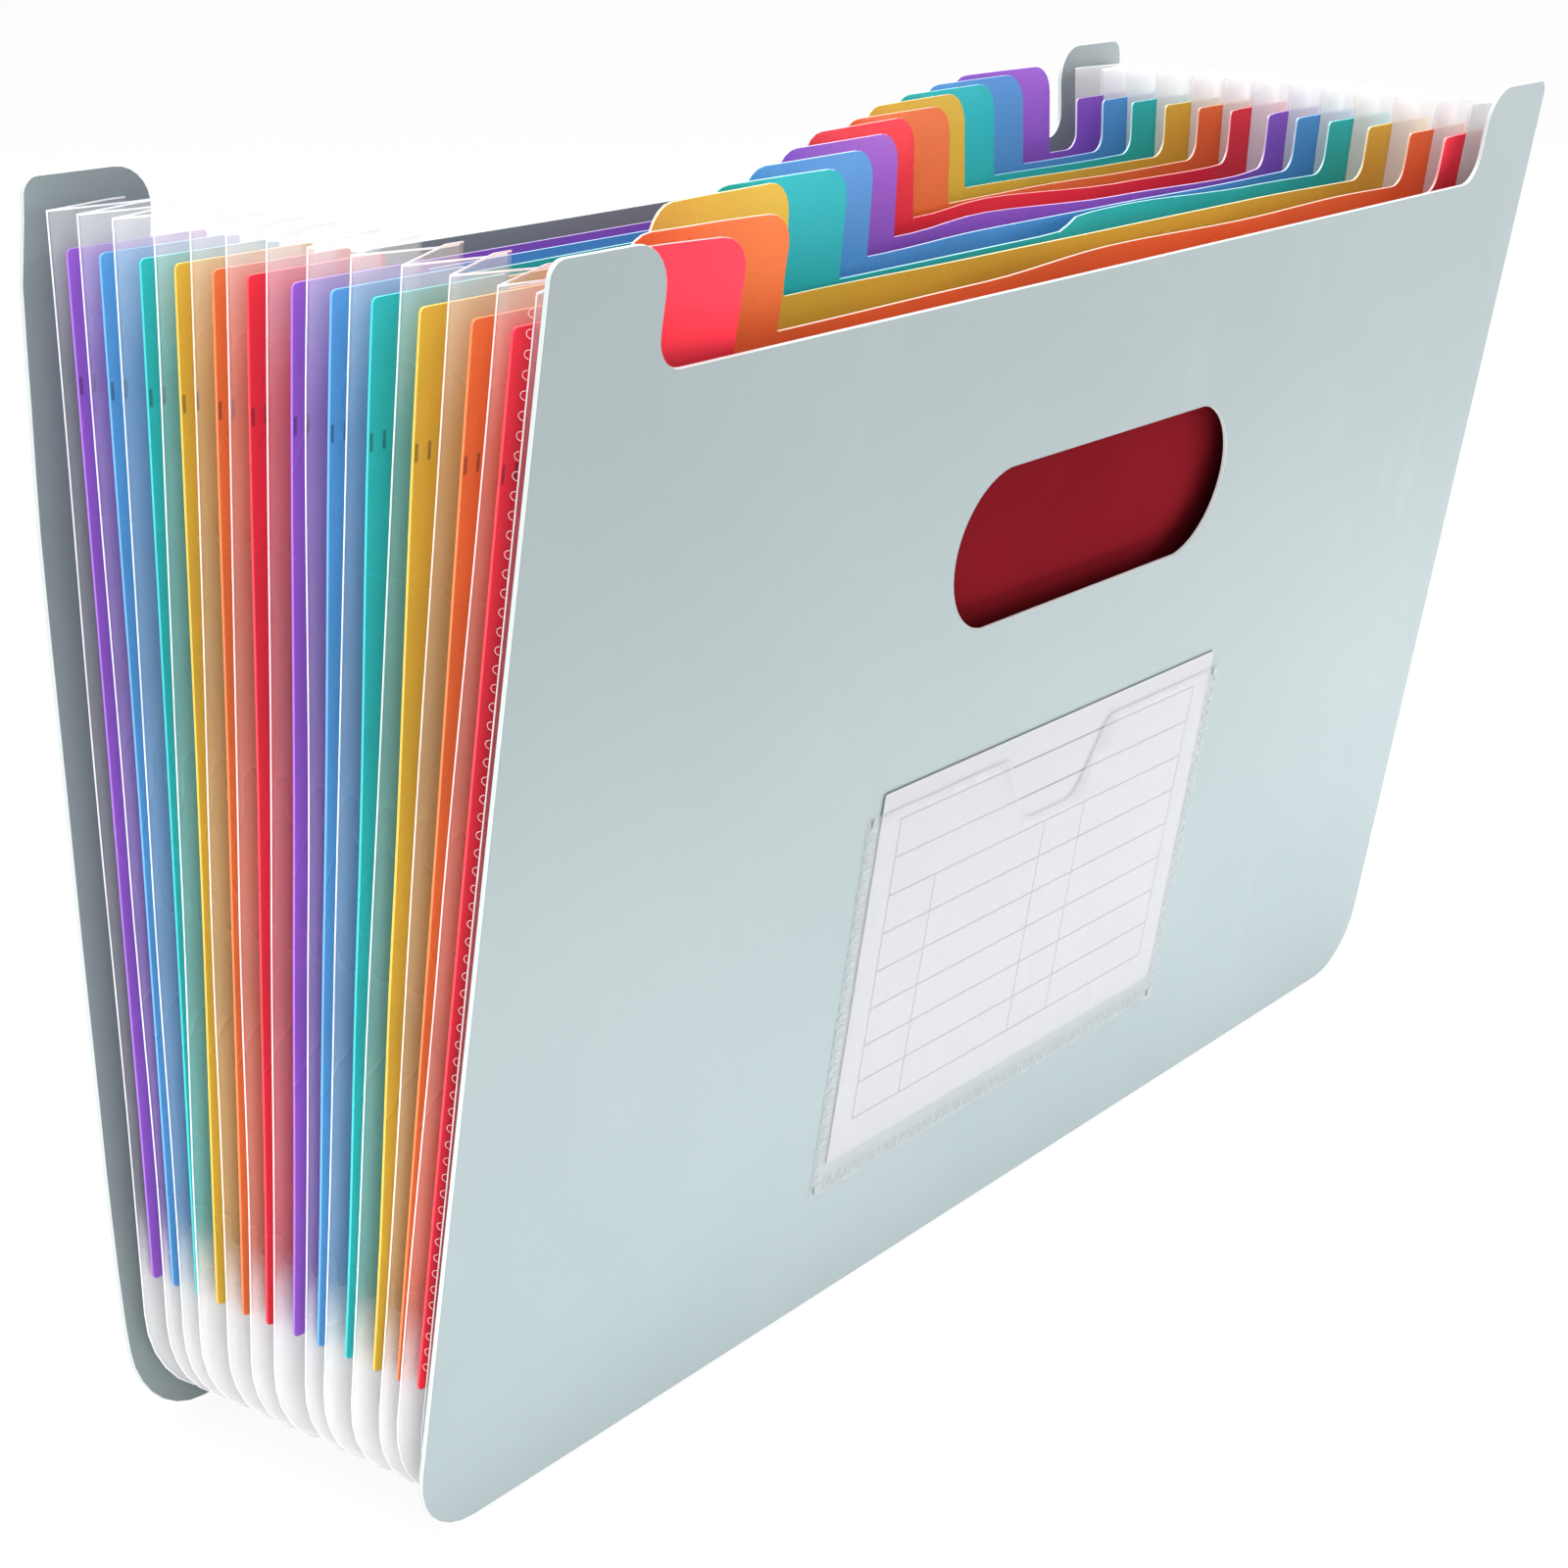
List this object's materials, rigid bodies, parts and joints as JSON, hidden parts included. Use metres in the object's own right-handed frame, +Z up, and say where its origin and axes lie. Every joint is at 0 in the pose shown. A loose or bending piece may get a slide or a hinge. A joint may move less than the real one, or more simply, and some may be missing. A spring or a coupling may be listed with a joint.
{
  "type": "accordion file folder",
  "caption": "Fan-opening document folder: stiff covers with hand holes, translucent coloured tabbed dividers, clear V-fold pleats round each pocket and a label pocket with a sliding card.",
  "frame": {"origin": "middle of the footprint, on the table the covers stand on", "axes": "+X across the width to the right of someone facing the label, +Y from the front cover to the rear cover, +Z up"},
  "size_m": [0.34, 0.1116, 0.2219],
  "materials": {
    "cover_sheet": "fine matte polypropylene sheet",
    "red_sheet": "translucent satin polypropylene sheet",
    "orange_sheet": "translucent satin polypropylene sheet",
    "yellow_sheet": "translucent satin polypropylene sheet",
    "teal_sheet": "translucent satin polypropylene sheet",
    "blue_sheet": "translucent satin polypropylene sheet",
    "purple_sheet": "translucent satin polypropylene sheet",
    "pleat_film": "frosted clear polypropylene film",
    "label_film": "clear film",
    "label_paper": "uncoated white card with a faint ruled form"
  },
  "bodies": {
    "front_cover": {"front_cover": "cover_sheet", "label_pocket": "label_film", "pleat_1": "pleat_film"},
    "divider_1": {"divider_1": "red_sheet", "pleat_2": "pleat_film"},
    "divider_2": {"divider_2": "orange_sheet", "pleat_3": "pleat_film"},
    "divider_3": {"divider_3": "yellow_sheet", "pleat_4": "pleat_film"},
    "divider_4": {"divider_4": "teal_sheet", "pleat_5": "pleat_film"},
    "divider_5": {"divider_5": "blue_sheet", "pleat_6": "pleat_film"},
    "divider_6": {"divider_6": "purple_sheet", "pleat_7": "pleat_film"},
    "divider_7": {"divider_7": "red_sheet"},
    "divider_8": {"divider_8": "orange_sheet", "pleat_8": "pleat_film"},
    "divider_9": {"divider_9": "yellow_sheet", "pleat_9": "pleat_film"},
    "divider_10": {"divider_10": "teal_sheet", "pleat_10": "pleat_film"},
    "divider_11": {"divider_11": "blue_sheet", "pleat_11": "pleat_film"},
    "divider_12": {"divider_12": "purple_sheet", "pleat_12": "pleat_film"},
    "rear_cover": {"rear_cover": "cover_sheet", "pleat_13": "pleat_film"},
    "label_card": {"label_card": "label_paper"}
  },
  "joints": [
    {"name": "pocket_1_fold", "type": "hinge", "parent": "divider_1", "child": "front_cover", "pos_m": [0, -0.04127, -0.18085], "axis": [1, 0, 0], "range_deg": [-0.87, 1.05], "deforming": ["pleat_1"]},
    {"name": "pocket_2_fold", "type": "hinge", "parent": "divider_2", "child": "divider_1", "pos_m": [0, -0.03376, -0.18051], "axis": [1, 0, 0], "range_deg": [-0.87, 1.05], "deforming": ["pleat_2"]},
    {"name": "pocket_3_fold", "type": "hinge", "parent": "divider_3", "child": "divider_2", "pos_m": [0, -0.02625, -0.1802], "axis": [1, 0, 0], "range_deg": [-0.87, 1.05], "deforming": ["pleat_3"]},
    {"name": "pocket_4_fold", "type": "hinge", "parent": "divider_4", "child": "divider_3", "pos_m": [0, -0.01873, -0.17993], "axis": [1, 0, 0], "range_deg": [-0.87, 1.05], "deforming": ["pleat_4"]},
    {"name": "pocket_5_fold", "type": "hinge", "parent": "divider_5", "child": "divider_4", "pos_m": [0, -0.01122, -0.17969], "axis": [1, 0, 0], "range_deg": [-0.87, 1.05], "deforming": ["pleat_5"]},
    {"name": "pocket_6_fold", "type": "hinge", "parent": "divider_6", "child": "divider_5", "pos_m": [0, -0.00369, -0.17949], "axis": [1, 0, 0], "range_deg": [-0.87, 1.05], "deforming": ["pleat_6"]},
    {"name": "pocket_7_fold", "type": "hinge", "parent": "divider_7", "child": "divider_6", "pos_m": [0, 0.00383, -0.17933], "axis": [1, 0, 0], "range_deg": [-0.87, 1.05], "deforming": ["pleat_7"]},
    {"name": "pocket_8_fold", "type": "hinge", "parent": "divider_7", "child": "divider_8", "pos_m": [0, 0.01136, -0.1792], "axis": [-1, 0, 0], "range_deg": [-0.87, 1.05], "deforming": ["pleat_8"]},
    {"name": "pocket_9_fold", "type": "hinge", "parent": "divider_8", "child": "divider_9", "pos_m": [0, 0.01889, -0.17911], "axis": [-1, 0, 0], "range_deg": [-0.87, 1.05], "deforming": ["pleat_9"]},
    {"name": "pocket_10_fold", "type": "hinge", "parent": "divider_9", "child": "divider_10", "pos_m": [0, 0.02642, -0.17906], "axis": [-1, 0, 0], "range_deg": [-0.87, 1.05], "deforming": ["pleat_10"]},
    {"name": "pocket_11_fold", "type": "hinge", "parent": "divider_10", "child": "divider_11", "pos_m": [0, 0.03395, -0.17904], "axis": [-1, 0, 0], "range_deg": [-0.87, 1.05], "deforming": ["pleat_11"]},
    {"name": "pocket_12_fold", "type": "hinge", "parent": "divider_11", "child": "divider_12", "pos_m": [0, 0.04148, -0.17906], "axis": [-1, 0, 0], "range_deg": [-0.87, 1.05], "deforming": ["pleat_12"]},
    {"name": "pocket_13_fold", "type": "hinge", "parent": "divider_12", "child": "rear_cover", "pos_m": [0, 0.04901, -0.17912], "axis": [-1, 0, 0], "range_deg": [-0.87, 1.05], "deforming": ["pleat_13"]},
    {"name": "label_card_slide", "type": "slide", "parent": "front_cover", "child": "label_card", "axis": [0, -0.1588, 0.9873], "range_m": [0, 0.07]}
  ],
  "couplings": [
    {"joint": "pocket_1_fold", "follows": "pocket_7_fold", "ratio": 1},
    {"joint": "pocket_2_fold", "follows": "pocket_7_fold", "ratio": 1},
    {"joint": "pocket_3_fold", "follows": "pocket_7_fold", "ratio": 1},
    {"joint": "pocket_4_fold", "follows": "pocket_7_fold", "ratio": 1},
    {"joint": "pocket_5_fold", "follows": "pocket_7_fold", "ratio": 1},
    {"joint": "pocket_6_fold", "follows": "pocket_7_fold", "ratio": 1},
    {"joint": "pocket_8_fold", "follows": "pocket_7_fold", "ratio": 1},
    {"joint": "pocket_9_fold", "follows": "pocket_7_fold", "ratio": 1},
    {"joint": "pocket_10_fold", "follows": "pocket_7_fold", "ratio": 1},
    {"joint": "pocket_11_fold", "follows": "pocket_7_fold", "ratio": 1},
    {"joint": "pocket_12_fold", "follows": "pocket_7_fold", "ratio": 1},
    {"joint": "pocket_13_fold", "follows": "pocket_7_fold", "ratio": 1}
  ]
}
